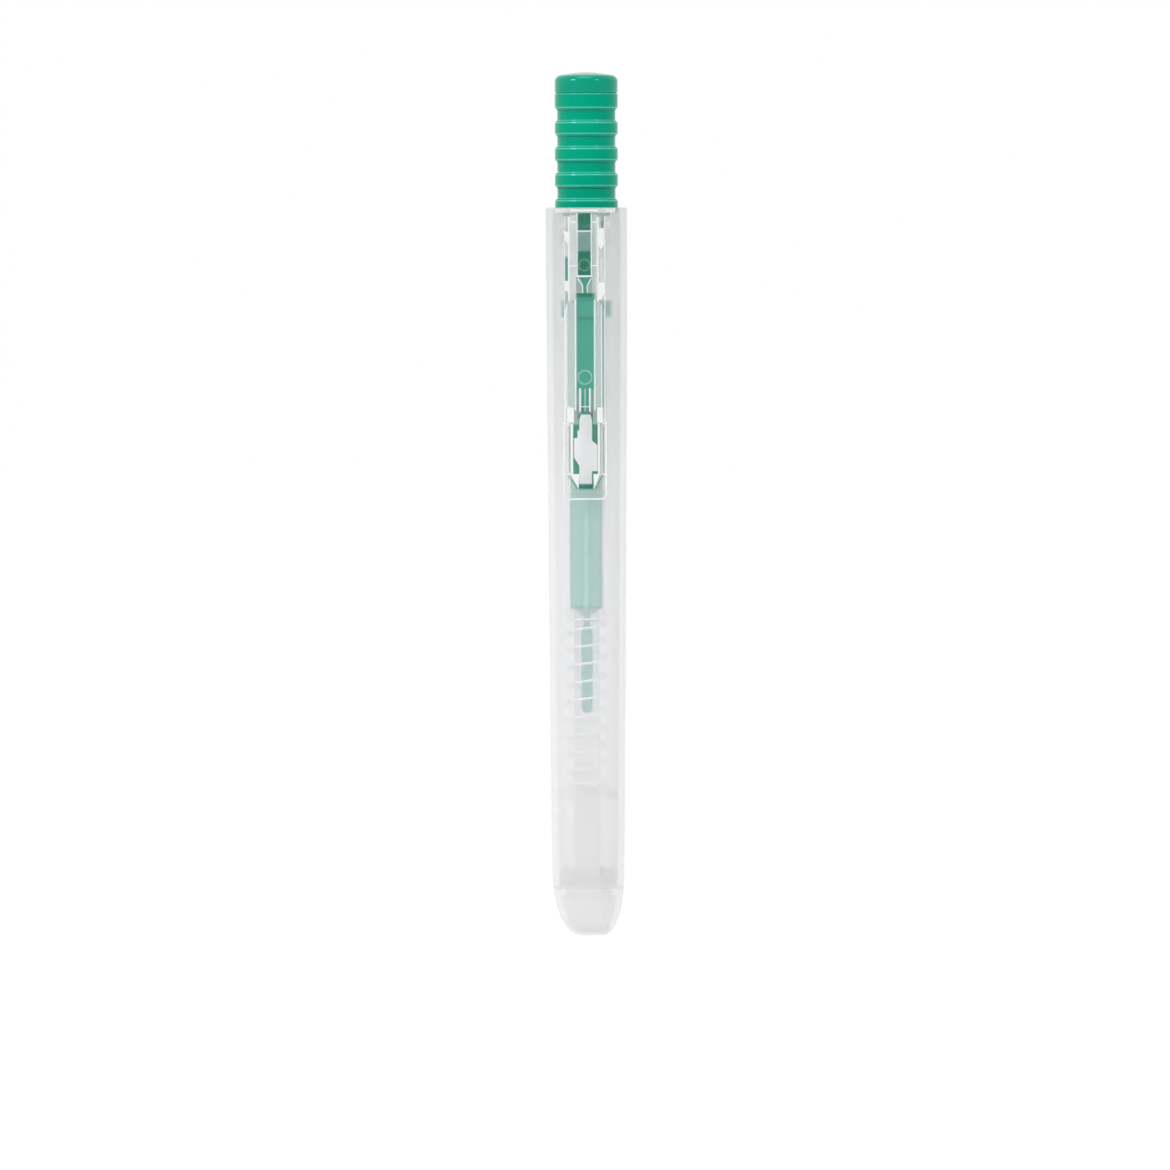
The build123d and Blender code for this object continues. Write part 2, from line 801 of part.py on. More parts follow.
# ---------------------------------------------------------------- reels and gears
def reel(teeth, first_tooth, z, axle_radius, hub_radius, flange_reach):
    """A toothed flange, a hub and a plain flange, bored for its axle."""
    with BuildPart() as part:
        gear(teeth, first_tooth, reel_y, z)
        crosswise(reel_left, gear_left, hub_radius, reel_y, z)
        crosswise(reel_left, reel_left + reel_flange, flange_reach, reel_y, z)
        crosswise(
            -plate_inner, plate_inner, axle_radius + axle_clearance, reel_y, z, mode=Mode.SUBTRACT,
        )
    return part


def tape_roll(hub_radius, roll_radius, z):
    """Tape wound on a hub, as one ring."""
    with BuildPart() as roll:
        crosswise(tape_left, tape_right, roll_radius, reel_y, z)
        crosswise(tape_left, tape_right, hub_radius + fit_gap, reel_y, z, mode=Mode.SUBTRACT)
    return roll


ring_inner = supply_hub_radius + clutch_ring_width / 2
ring_outer = ring_inner + clutch_ring_width
ring_low = gear_right - clutch_ring_depth

supply_blank = reel(
    supply_teeth, supply_first_tooth, supply_z, supply_axle_radius,
    supply_hub_radius, supply_pitch_radius - flange_inset,
)
with BuildPart() as supply_reel:
    add(supply_blank.part)
    crosswise(ring_low, gear_right, ring_outer + fit_gap, reel_y, supply_z, mode=Mode.SUBTRACT)
    crosswise(ring_low, gear_right, ring_inner - fit_gap, reel_y, supply_z)
    crosswise(
        ring_low, gear_right, supply_axle_radius + axle_clearance, reel_y, supply_z,
        mode=Mode.SUBTRACT,
    )
supply_reel.part.label = "supply_reel"

with BuildPart() as clutch_ring:
    crosswise(ring_low, gear_right, ring_outer, reel_y, supply_z)
    crosswise(ring_low, gear_right, ring_inner, reel_y, supply_z, mode=Mode.SUBTRACT)
clutch_ring.part.label = "clutch_ring"

supply_tape = tape_roll(supply_hub_radius, supply_roll_radius, supply_z)
supply_tape.part.label = "supply_tape"

takeup_reel = reel(
    takeup_teeth, takeup_first_tooth, takeup_z, takeup_axle_radius,
    takeup_hub_radius, takeup_pitch_radius - flange_inset,
)
takeup_reel.part.label = "takeup_reel"

takeup_tape = tape_roll(takeup_hub_radius, takeup_roll_radius, takeup_z)
takeup_tape.part.label = "takeup_tape"

with BuildPart() as idler_gear:
    gear(idler_teeth, idler_first_tooth, reel_y, idler_z)
    crosswise(
        gear_left, gear_right, idler_axle_radius + axle_clearance, reel_y, idler_z,
        mode=Mode.SUBTRACT,
    )
idler_gear.part.label = "idler_gear"

# ---------------------------------------------------------------- tape head
cheek_inner = tape_side_gap - tape_left
with BuildPart() as head_frame:
    for side in (-1, 1):
        start = min(side * cheek_inner, side * plate_inner)
        with BuildSketch(Plane.YZ.offset(start)):
            with BuildLine():
                Polyline(
                    (reel_y - cheek_end_radius, head_z),
                    (reel_y - cheek_half_depth, head_z + cheek_taper),
                    (reel_y - cheek_half_depth, head_top_z),
                    (reel_y + cheek_half_depth, head_top_z),
                    (reel_y + cheek_half_depth, head_z + cheek_taper),
                    (reel_y + cheek_end_radius, head_z),
                )
                ThreePointArc(
                    (reel_y + cheek_end_radius, head_z), (reel_y, head_z - cheek_end_radius),
                    (reel_y - cheek_end_radius, head_z),
                )
            make_face()
        extrude(amount=plate_inner - cheek_inner)
    side_block(
        -cheek_inner, cheek_inner, reel_y - head_bar_half, reel_y + head_bar_half,
        head_z + head_bar_start, head_top_z,
    )
    crosswise(-plate_inner, plate_inner, head_axle_radius, reel_y, head_z, mode=Mode.SUBTRACT)
    crosswise(
        -plate_inner, plate_inner, post_radius + post_fit, reel_y, head_top_z - plate_corner,
        mode=Mode.SUBTRACT,
    )
head_frame.part.label = "head_frame"

with BuildPart() as head_axle:
    crosswise(-plate_inner, plate_inner, head_axle_radius, reel_y, head_z)
head_axle.part.label = "head_axle"

with BuildPart() as head_roller:
    roller_half = cheek_inner - head_side_gap
    crosswise(-roller_half, roller_half, head_roller_radius, reel_y, head_z)
    crosswise(
        -roller_half, roller_half, head_axle_radius + axle_clearance, reel_y, head_z,
        mode=Mode.SUBTRACT,
    )
head_roller.part.label = "head_roller"

# ---------------------------------------------------------------- tape ribbon
with BuildPart() as tape_ribbon:
    guide_reach = post_radius + post_fit + tape_thickness / 2
    loop_low = head_z - head_loop_radius
    with BuildSketch(Plane.YZ.offset(tape_left)):
        with BuildLine() as ribbon_line:
            FilletPolyline(
                (reel_y + supply_roll_radius + ribbon_gap, supply_z),
                (feed_guide_y - guide_reach, guide_z),
                (reel_y + head_loop_half, loop_low),
                (reel_y - head_loop_half, loop_low),
                (return_guide_y - guide_reach, guide_z),
                (reel_y - takeup_roll_radius - ribbon_gap, takeup_z),
                radius=[guide_reach, head_loop_radius, head_loop_radius, guide_reach],
            )
        trace(line_width=tape_thickness)
    extrude(amount=tape_width)
tape_ribbon.part.label = "tape_ribbon"

# ---------------------------------------------------------------- clip
with BuildPart() as clip:
    with BuildSketch(Plane.XZ.offset(-clip_inner)):
        with Locations((0, (clip_top + clip_bottom) / 2)):
            RectangleRounded(2 * clip_half_width, clip_length, clip_corner)
        with Locations((0, clip_bottom + clip_foot_length / 2)):
            RectangleRounded(2 * clip_foot_half_width, clip_foot_length, clip_corner)
    extrude(amount=clip_thickness)
    crosswise(-clip_half_width, clip_half_width, clip_eye_radius, hinge_y, hinge_z)
    side_block(
        -clip_half_width, clip_half_width, clip_inner, hinge_y,
        hinge_z - clip_eye_radius, hinge_z + clip_eye_radius,
    )
    for side in (-1, 1):
        strip = min(side * clip_half_width, side * (clip_half_width - flange_strip))
        side_block(
            strip, strip + flange_strip, clip_inner, clip_inner + flange_depth,
            clip_bottom + flange_bottom_rise, hinge_z - flange_top_gap,
        )
    pad_y = front_y - pad_gap - pad_radius
    crosswise(-pad_half_width, pad_half_width, pad_radius, pad_y, clip_bottom + pad_rise)
    crosswise(
        -clip_half_width, clip_half_width, clip_pin_radius + pin_clearance, hinge_y, hinge_z,
        mode=Mode.SUBTRACT,
    )
    for drop, radius in ((upper_mark_drop, upper_mark_radius), (lower_mark_drop, lower_mark_radius)):
        with BuildSketch(Plane.XZ.offset(-clip_outer)):
            with Locations((0, barrel_top - drop)):
                Circle(radius)
                Circle(radius - mark_width, mode=Mode.SUBTRACT)
        extrude(amount=-mark_depth, mode=Mode.SUBTRACT)
clip.part.label = "clip"

with BuildPart() as clip_pin:
    crosswise(-ear_outer, ear_outer, clip_pin_radius, hinge_y, hinge_z)
clip_pin.part.label = "clip_pin"

# ---------------------------------------------------------------- catch
catch_half = catch_window_half - catch_side_gap
catch_top = catch_neck_top - catch_top_gap
catch_bottom = catch_foot_bottom + catch_foot_gap
with BuildPart() as catch:
    with BuildSketch(Plane.XZ.offset(-(catch_front + catch_thickness))):
        with BuildLine():
            Polyline(
                (-catch_top_half, catch_top), (catch_top_half, catch_top),
                (catch_column_half, catch_top - catch_top_chamfer),
                (catch_column_half, catch_z + right_wing_rise),
                (catch_half, catch_z + right_wing_rise - right_wing_slope),
                (catch_half, catch_z - right_wing_drop),
                (catch_column_half, catch_z - right_wing_drop),
                (catch_column_half, catch_bottom), (-catch_column_half, catch_bottom),
                (-catch_column_half, catch_z - left_wing_drop - wing_slope),
                (-catch_half, catch_z - left_wing_drop),
                (-catch_half, catch_z + left_wing_rise), (-step_half, catch_z + left_wing_rise),
                (-step_half, catch_z + step_rise), (-catch_column_half, catch_z + step_rise),
                (-catch_column_half, catch_top - catch_top_chamfer), close=True,
            )
        make_face()
    extrude(amount=catch_thickness)
    crosswise(-catch_half, catch_half, catch_knuckle_radius, catch_y, catch_z)
    crosswise(
        -catch_half, catch_half, catch_pin_radius + pin_clearance, catch_y, catch_z,
        mode=Mode.SUBTRACT,
    )
catch.part.label = "catch"

with BuildPart() as catch_pin:
    crosswise(-pin_end, pin_end, catch_pin_radius, catch_y, catch_z)
catch_pin.part.label = "catch_pin"

# ---------------------------------------------------------------- files
pieces = [
    barrel, nose_cap, knob_sleeve, knob_cap, push_rod, spring_washer, spring_seat, return_spring,
    cartridge_left, cartridge_right, guide_posts, supply_axle, idler_axle, takeup_axle,
    supply_reel, supply_tape, clutch_ring, idler_gear, takeup_reel, takeup_tape,
    head_frame, head_axle, head_roller, tape_ribbon, clip, clip_pin, catch, catch_pin,
]
os.makedirs("parts", exist_ok=True)
for piece in pieces:
    export_step(piece.part, f"parts/{piece.part.label}.step")
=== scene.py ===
"""Looks of the push-button correction tape roller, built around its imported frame.

Frame: metres, +Z up, nose on the floor, front face with the clip towards -Y.
Lengths below are written in millimetres and scaled by MM where they are used, apart from
those of the floor, the lamps and the camera's nearest and farthest sight, in metres.
"""

import json

from math import cos, pi, radians, sin

import bmesh
import bpy
from mathutils import Matrix, Vector


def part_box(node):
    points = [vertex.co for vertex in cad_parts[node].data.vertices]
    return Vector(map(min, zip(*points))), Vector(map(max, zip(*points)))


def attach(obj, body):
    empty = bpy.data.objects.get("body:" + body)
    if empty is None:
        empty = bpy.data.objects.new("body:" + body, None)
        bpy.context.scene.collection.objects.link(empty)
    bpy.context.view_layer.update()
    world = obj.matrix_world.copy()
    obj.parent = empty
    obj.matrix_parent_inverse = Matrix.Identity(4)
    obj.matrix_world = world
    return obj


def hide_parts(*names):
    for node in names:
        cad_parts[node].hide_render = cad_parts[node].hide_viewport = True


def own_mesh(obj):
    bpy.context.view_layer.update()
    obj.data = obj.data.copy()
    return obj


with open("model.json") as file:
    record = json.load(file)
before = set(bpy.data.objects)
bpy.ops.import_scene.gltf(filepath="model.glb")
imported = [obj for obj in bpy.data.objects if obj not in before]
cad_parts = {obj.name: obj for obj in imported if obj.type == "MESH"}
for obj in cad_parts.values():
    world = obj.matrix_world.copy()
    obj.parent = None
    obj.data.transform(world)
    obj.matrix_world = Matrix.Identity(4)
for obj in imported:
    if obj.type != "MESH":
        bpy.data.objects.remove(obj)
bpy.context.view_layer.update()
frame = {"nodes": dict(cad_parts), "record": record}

MM = 0.001

# ---------------------------------------------------------------- camera
PHOTO_WIDTH = 195.0
LENS = 400.0
SENSOR = 36.0
VIEW_AZIMUTH = 1.5
VIEW_ELEVATION = 1.6
VIEW_ROLL = -0.157
TARGET = Vector((-0.42, 0.0, 58.3)) * MM
CAMERA_DISTANCE = PHOTO_WIDTH * LENS / SENSOR
NEAREST, FARTHEST = 0.05, 20.0


def direction(azimuth, elevation):
    """The unit vector towards a place round the object, by its angles in degrees."""
    turn, rise = radians(azimuth), radians(elevation)
    return Vector((sin(turn) * cos(rise), -cos(turn) * cos(rise), sin(rise)))


def add_camera():
    """A long lens straight in front of the clip, almost level, as in the photograph."""
    data = bpy.data.cameras.new("photo_camera")
    data.lens = LENS
    data.sensor_width = SENSOR
    data.clip_start = NEAREST
    data.clip_end = FARTHEST
    camera = bpy.data.objects.new("photo_camera", data)
    bpy.context.scene.collection.objects.link(camera)
    away = direction(VIEW_AZIMUTH, VIEW_ELEVATION)
    distance = CAMERA_DISTANCE * MM
    turn = away.to_track_quat("Z", "Y").to_matrix().to_4x4()
    roll = Matrix.Rotation(radians(VIEW_ROLL), 4, "Z")
    camera.matrix_world = Matrix.Translation(TARGET + away * distance) @ turn @ roll
    bpy.context.scene.camera = camera


# ---------------------------------------------------------------- light and floor
WORLD_LEVEL = 0.72
LIT_MIDDLE = Vector((0.0, 0.0, 0.09))
LAMP_DISTANCE = 0.9
# name, width and height in metres, azimuth and elevation in degrees, watts
LAMPS = (
    ("left_box", 0.24, 0.18, -50, 27, 2.4),
    ("right_box", 0.16, 0.14, 44, 27, 0.95),
    ("top_box", 0.50, 0.40, -10, 76, 2.2),
)


def add_lights():
    """Two soft boxes in front, one on each side, and one overhead, aimed at the object."""
    for name, width, height, azimuth, elevation, power in LAMPS:
        data = bpy.data.lights.new(name, "AREA")
        data.shape = "RECTANGLE"
        data.size = width
        data.size_y = height
        data.energy = power
        light = bpy.data.objects.new(name, data)
        bpy.context.scene.collection.objects.link(light)
        away = direction(azimuth, elevation)
        light.location = LIT_MIDDLE + away * LAMP_DISTANCE
        light.rotation_euler = away.to_track_quat("Z", "Y").to_euler()


def ray_seen(tree):
    """1 on the rays that look at the background: camera, glossy and transmission rays."""
    path = tree.nodes.new("ShaderNodeLightPath")
    result = path.outputs["Is Camera Ray"]
    for name in ("Is Glossy Ray", "Is Transmission Ray"):
        more = tree.nodes.new("ShaderNodeMath")
        more.operation = "MAXIMUM"
        tree.links.new(result, more.inputs[0])
        tree.links.new(path.outputs[name], more.inputs[1])
        result = more.outputs[0]
    return result


def mixed(tree, factor, first, second):
    """A shader between two others; factor is a number or a 0 to 1 value of the tree."""
    node = tree.nodes.new("ShaderNodeMixShader")
    if isinstance(factor, float):
        node.inputs[0].default_value = factor
    else:
        tree.links.new(factor, node.inputs[0])
    tree.links.new(first, node.inputs[1])
    tree.links.new(second, node.inputs[2])
    return node.outputs[0]


WHITE = (1, 1, 1, 1)


def plain_glow(tree, kind, strength):
    """White light of an even strength, as a Background or an Emission."""
    node = tree.nodes.new(kind)
    node.inputs["Color"].default_value = WHITE
    node.inputs["Strength"].default_value = strength
    return node.outputs[0]


def add_world():
    """White where the camera or a reflection looks, and a plain soft light elsewhere."""
    world = bpy.data.worlds.new("studio")
    bpy.context.scene.world = world
    world.use_nodes = True
    tree = world.node_tree
    tree.nodes.clear()
    output = tree.nodes.new("ShaderNodeOutputWorld")
    light = plain_glow(tree, "ShaderNodeBackground", WORLD_LEVEL)
    seen = plain_glow(tree, "ShaderNodeBackground", 1.0)
    tree.links.new(mixed(tree, ray_seen(tree), light, seen), output.inputs[0])


FLOOR_HALF = 4.0
FLOOR_SHADOW_SHARE = 0.10
FLOOR_GLOW = 0.945
FLOOR_MATT = (0.86, 0.87, 0.88, 1)


def add_floor():
    """A wide pale floor: white to the eye, with a share of plain matt that keeps the shadow."""
    mesh = bpy.data.meshes.new("floor")
    signs = ((-1, -1), (1, -1), (1, 1), (-1, 1))
    corners = [(x * FLOOR_HALF, y * FLOOR_HALF, 0) for x, y in signs]
    mesh.from_pydata(corners, [], [(0, 1, 2, 3)])
    floor = bpy.data.objects.new("floor", mesh)
    bpy.context.scene.collection.objects.link(floor)
    material, tree, output = new_material("floor_white")
    matt = tree.nodes.new("ShaderNodeBsdfDiffuse")
    matt.inputs["Color"].default_value = FLOOR_MATT
    black = plain_glow(tree, "ShaderNodeEmission", 0.0)
    glow = plain_glow(tree, "ShaderNodeEmission", FLOOR_GLOW)
    seen = tree.nodes.new("ShaderNodeAddShader")
    tree.links.new(mixed(tree, FLOOR_SHADOW_SHARE, black, matt.outputs[0]), seen.inputs[0])
    tree.links.new(glow, seen.inputs[1])
    surface = mixed(tree, ray_seen(tree), matt.outputs[0], seen.outputs[0])
    tree.links.new(surface, output.inputs[0])
    mesh.materials.append(material)


# ---------------------------------------------------------------- material helpers
NOISE_DETAIL = 2.0
# features per metre of the faint cloudiness
PLASTIC_CLOUDS = 260
METAL_CLOUDS = 900
CLEAR_CLOUDS = 180
# features per metre of the uneven gloss, and the share by which the roughness varies
PLASTIC_GLOSS = (1400, 0.15)
METAL_GLOSS = (3000, 0.3)
CLEAR_GLOSS = (1600, 0.15)
# what a clear material's cloudiness leaves of its colour
CLOUDED_SHARE = 0.97
# how soon a clear surface counts as seen edge on
EDGE_ON = 0.35


def new_material(name):
    """An empty material, its node tree and its output."""
    material = bpy.data.materials.new(name)
    material.use_nodes = True
    tree = material.node_tree
    tree.nodes.clear()
    output = tree.nodes.new("ShaderNodeOutputMaterial")
    return material, tree, output


def noise(tree, scale):
    """Noise in the object's own coordinates; scale is in features per metre."""
    place = tree.nodes.new("ShaderNodeTexCoord")
    node = tree.nodes.new("ShaderNodeTexNoise")
    node.inputs["Scale"].default_value = scale
    node.inputs["Detail"].default_value = NOISE_DETAIL
    tree.links.new(place.outputs["Object"], node.inputs["Vector"])
    return node.outputs["Fac"]


def spread(tree, value, low, high):
    """Maps a 0 to 1 value onto low to high."""
    node = tree.nodes.new("ShaderNodeMapRange")
    node.inputs["To Min"].default_value = low
    node.inputs["To Max"].default_value = high
    tree.links.new(value, node.inputs["Value"])
    return node.outputs["Result"]


def tinted(tree, value, dark, light):
    """A colour between two close tints, led by a 0 to 1 value."""
    node = tree.nodes.new("ShaderNodeMix")
    node.data_type = "RGBA"
    node.inputs["A"].default_value = (*dark, 1)
    node.inputs["B"].default_value = (*light, 1)
    tree.links.new(value, node.inputs["Factor"])
    return node.outputs["Result"]


def uneven_gloss(tree, shader, roughness, scale, share):
    """A roughness that varies over the surface by a share of itself."""
    value = spread(tree, noise(tree, scale), roughness * (1 - share), roughness * (1 + share))
    tree.links.new(value, shader.inputs["Roughness"])


def grain(tree, shader, scale, distance):
    """A fine surface texture, distance deep in metres."""
    node = tree.nodes.new("ShaderNodeBump")
    node.inputs["Strength"].default_value = 1.0
    node.inputs["Distance"].default_value = distance
    tree.links.new(noise(tree, scale), node.inputs["Height"])
    tree.links.new(node.outputs["Normal"], shader.inputs["Normal"])


def along(tree, axis, start, end):
    """0 to 1 from start to end along one of the object's axes, in millimetres."""
    place = tree.nodes.new("ShaderNodeTexCoord")
    parts = tree.nodes.new("ShaderNodeSeparateXYZ")
    node = tree.nodes.new("ShaderNodeMapRange")
    node.inputs["From Min"].default_value = start * MM
    node.inputs["From Max"].default_value = end * MM
    tree.links.new(place.outputs["Object"], parts.inputs[0])
    tree.links.new(parts.outputs[axis], node.inputs["Value"])
    return node.outputs["Result"]


def plastic(
    name, dark, light, roughness, texture, gloss=0.5, sheen=(1, 1, 1), across=None, fade=None,
):
    """Opaque moulded plastic with a faint cloudiness, uneven gloss and a fine texture.

    across, if given, is where the first colour changes to the second, from left to right.
    fade, if given, is the heights between which both change to a third colour, and that colour.
    """
    material, tree, output = new_material(name)
    shader = tree.nodes.new("ShaderNodeBsdfPrincipled")
    cloud = along(tree, "X", *across) if across else noise(tree, PLASTIC_CLOUDS)
    tint = tinted(tree, cloud, dark, light)
    if fade:
        low, high, last = fade
        faded = tinted(tree, along(tree, "Z", low, high), dark, last)
        tree.links.new(tint, faded.node.inputs["A"])
        tint = faded
    tree.links.new(tint, shader.inputs["Base Color"])
    uneven_gloss(tree, shader, roughness, *PLASTIC_GLOSS)
    shader.inputs["Specular IOR Level"].default_value = gloss
    shader.inputs["Specular Tint"].default_value = (*sheen, 1)
    grain(tree, shader, *texture)
    tree.links.new(shader.outputs[0], output.inputs["Surface"])
    return material


def metal(name, dark, light, roughness):
    """Bright drawn wire."""
    material, tree, output = new_material(name)
    shader = tree.nodes.new("ShaderNodeBsdfPrincipled")
    shader.inputs["Metallic"].default_value = 1.0
    tint = tinted(tree, noise(tree, METAL_CLOUDS), dark, light)
    tree.links.new(tint, shader.inputs["Base Color"])
    uneven_gloss(tree, shader, roughness, *METAL_GLOSS)
    tree.links.new(shader.outputs[0], output.inputs["Surface"])
    return material


def see_through(name, colour, cover, edge_cover, roughness, through, tint, texture, duller=None):
    """Frosted or clear plastic: a share of each surface scatters, the rest is seen through.

    cover is the scattering share face on, edge_cover the share on a surface seen edge on,
    through the part of the scattered light that comes from behind, tint what passes clear.
    duller, if given, is the heights between which the colour falls off, and what is left of it.
    """
    material, tree, output = new_material(name)
    shader = tree.nodes.new("ShaderNodeBsdfPrincipled")
    if duller:
        low, high, left = duller
        cloud = along(tree, "Z", high, low)
    else:
        cloud, left = noise(tree, CLEAR_CLOUDS), CLOUDED_SHARE
    base = tinted(tree, cloud, [part * left for part in colour], colour)
    tree.links.new(base, shader.inputs["Base Color"])
    uneven_gloss(tree, shader, roughness, *CLEAR_GLOSS)
    grain(tree, shader, *texture)
    back = tree.nodes.new("ShaderNodeBsdfTranslucent")
    back.inputs["Color"].default_value = (*colour, 1)
    body = mixed(tree, through, shader.outputs[0], back.outputs[0])
    facing = tree.nodes.new("ShaderNodeLayerWeight")
    facing.inputs["Blend"].default_value = EDGE_ON
    clear = tree.nodes.new("ShaderNodeBsdfTransparent")
    clear.inputs["Color"].default_value = (*tint, 1)
    share = spread(tree, facing.outputs["Facing"], cover, edge_cover)
    tree.links.new(mixed(tree, share, clear.outputs[0], body), output.inputs["Surface"])
    return material


# ---------------------------------------------------------------- materials
# surface textures: features per metre, and depth in metres
FROST_GRAIN = (1500, 0.000006)
CLEAR_GRAIN = (900, 0.000001)
GREEN_GRAIN = (2600, 0.000002)
WHITE_GRAIN = (3000, 0.000005)
GREY_GRAIN = (3000, 0.000006)
TAPE_GRAIN = (4200, 0.000008)
RUBBER_GRAIN = (3600, 0.00001)
# the heights between which a colour changes, and the new colour or what is left of the old
GLOW_FADE = (69.5, 76.2, (0.014, 0.43, 0.31))
WALL_FADE = (75, 122, 0.80)
# painted light: from the lighter left of the shaft, where the left lamp falls, to its darker right
SHAFT_SIDES = (-2.6, 2.6)


def make_materials():
    """One material for each slot of the record, and variants for moulded edges with painted
    highlight, for painted light and for painted shade.
    """
    return {
        "frosted_shell": see_through(
            "frosted_polypropylene", (0.955, 0.95, 0.96),
            cover=0.28, edge_cover=0.38, roughness=0.42, through=0.10,
            tint=(0.965, 0.965, 0.965), texture=FROST_GRAIN, duller=WALL_FADE,
        ),
        # painted highlight: a whiter frost for the barrel's rounded edges and front rim
        "frosted_painted_highlight": see_through(
            "frosted_painted_highlight", (0.98, 0.98, 0.985),
            cover=0.7, edge_cover=0.8, roughness=0.4, through=0.4,
            tint=(0.96, 0.96, 0.96), texture=FROST_GRAIN,
        ),
        "clear_plastic": see_through(
            "clear_styrene", (0.96, 0.97, 0.97),
            cover=0.05, edge_cover=0.4, roughness=0.10, through=0.4,
            tint=(0.98, 0.985, 0.98), texture=CLEAR_GRAIN,
        ),
        "clear_inside": see_through(
            "clear_inside", (0.97, 0.975, 0.975),
            cover=0.015, edge_cover=0.04, roughness=0.15, through=0.5,
            tint=(0.995, 0.995, 0.995), texture=CLEAR_GRAIN,
        ),
        # painted highlight: a near-white cover for the bright edges of clear parts
        "clear_painted_highlight": see_through(
            "clear_painted_highlight", (0.985, 0.98, 0.985),
            cover=0.85, edge_cover=0.92, roughness=0.15, through=0.3,
            tint=(0.98, 0.985, 0.98), texture=CLEAR_GRAIN,
        ),
        "clear_mist": see_through(
            "clear_mist", (0.62, 0.66, 0.66),
            cover=0.20, edge_cover=0.3, roughness=0.3, through=0.4,
            tint=(0.90, 0.92, 0.92), texture=CLEAR_GRAIN,
        ),
        "clear_ring": see_through(
            "clear_ring", (0.90, 0.97, 0.95),
            cover=0.34, edge_cover=0.5, roughness=0.3, through=0.4,
            tint=(0.98, 0.985, 0.985), texture=CLEAR_GRAIN,
        ),
        "clear_milk": see_through(
            "clear_milk", (0.97, 0.98, 0.985),
            cover=0.22, edge_cover=0.3, roughness=0.3, through=0.4,
            tint=(0.98, 0.985, 0.985), texture=CLEAR_GRAIN,
        ),
        # painted shade: a dark see-through tint on the clip where the parts behind lie in shade
        "clear_painted_shade": see_through(
            "clear_painted_shade", (0.12, 0.30, 0.24),
            cover=0.14, edge_cover=0.3, roughness=0.3, through=0.3,
            tint=(0.62, 0.78, 0.73), texture=CLEAR_GRAIN,
        ),
        "green_plastic": plastic(
            "green_abs", (0.001, 0.295, 0.176), (0.002, 0.320, 0.193),
            roughness=0.12, texture=GREEN_GRAIN, gloss=0.20, sheen=(0.05, 1.0, 0.75),
        ),
        "green_cap": plastic(
            "green_cap", (0.001, 0.255, 0.150), (0.002, 0.280, 0.165),
            roughness=0.10, texture=GREEN_GRAIN, gloss=0.55, sheen=(0.15, 1.0, 0.80),
        ),
        # painted highlight: a paler green for the knob's rounded edges
        "green_painted_highlight": plastic(
            "green_painted_highlight", (0.02, 0.45, 0.32), (0.03, 0.49, 0.35),
            roughness=0.18, texture=GREEN_GRAIN, gloss=0.5,
        ),
        "green_rod": plastic(
            "green_rod", (0.012, 0.415, 0.298), (0.016, 0.450, 0.325),
            roughness=0.25, texture=GREEN_GRAIN, gloss=0.3,
        ),
        # painted light: the shaft's front, bright with the light that passes through it, lighter
        # on the left and darker towards the top
        "green_glow": plastic(
            "green_glow", (0.02, 0.96, 0.73), (0.008, 0.74, 0.61),
            roughness=0.35, texture=GREEN_GRAIN, gloss=0.2, across=SHAFT_SIDES, fade=GLOW_FADE,
        ),
        # painted light: the rib's front, bright with the light that passes through it
        "green_rib": plastic(
            "green_rib", (0.006, 0.69, 0.53), (0.008, 0.73, 0.56),
            roughness=0.35, texture=GREEN_GRAIN, gloss=0.2, fade=GLOW_FADE,
        ),
        # painted shade: dark green for the top of the knob's grooves
        "green_painted_shade": plastic(
            "green_painted_shade", (0.001, 0.135, 0.085), (0.002, 0.155, 0.100),
            roughness=0.4, texture=GREEN_GRAIN, gloss=0.2,
        ),
        "white_plastic": plastic(
            "white_acetal", (0.87, 0.865, 0.88), (0.90, 0.895, 0.91),
            roughness=0.35, texture=WHITE_GRAIN,
        ),
        "grey_plastic": plastic(
            "grey_acetal", (0.62, 0.63, 0.64), (0.68, 0.69, 0.70),
            roughness=0.4, texture=GREY_GRAIN,
        ),
        "spring_steel": metal(
            "spring_steel", (0.90, 0.90, 0.91), (0.96, 0.96, 0.97), roughness=0.42,
        ),
        "tape_white": plastic(
            "correction_film", (0.90, 0.90, 0.89), (0.93, 0.93, 0.92),
            roughness=0.6, texture=TAPE_GRAIN,
        ),
        "liner_paper": plastic(
            "glassine_liner", (0.82, 0.81, 0.78), (0.87, 0.86, 0.83),
            roughness=0.5, texture=TAPE_GRAIN,
        ),
        "ring_rubber": plastic(
            "clutch_rubber", (0.040, 0.041, 0.043), (0.055, 0.056, 0.058),
            roughness=0.7, texture=RUBBER_GRAIN,
        ),
    }


# paler variants that paint a highlight on the rounded edges of these slots
PAINTED_HIGHLIGHT_SLOTS = {
    "frosted_shell": "frosted_painted_highlight", "clear_plastic": "clear_painted_highlight", "green_plastic": "green_painted_highlight",
}
CLEAR_NODES = (
    "cartridge_left", "cartridge_right", "guide_posts", "supply_axle", "idler_axle",
    "takeup_axle", "clip_pin", "catch_pin", "head_frame",
)
NODE_MATERIALS = {
    "push_rod": "green_rod", "knob_cap": "green_cap",
    **dict.fromkeys(CLEAR_NODES, "clear_inside"),
}
EDGE_WIDTHS = {
    "barrel": 0.16, "nose_cap": 0.10, "knob_sleeve": 0.20, "knob_cap": 0.16, "catch": 0.12,
}
WELD_DISTANCE = 0.002
EDGE_SEGMENTS = 3
EDGE_ANGLE = 42


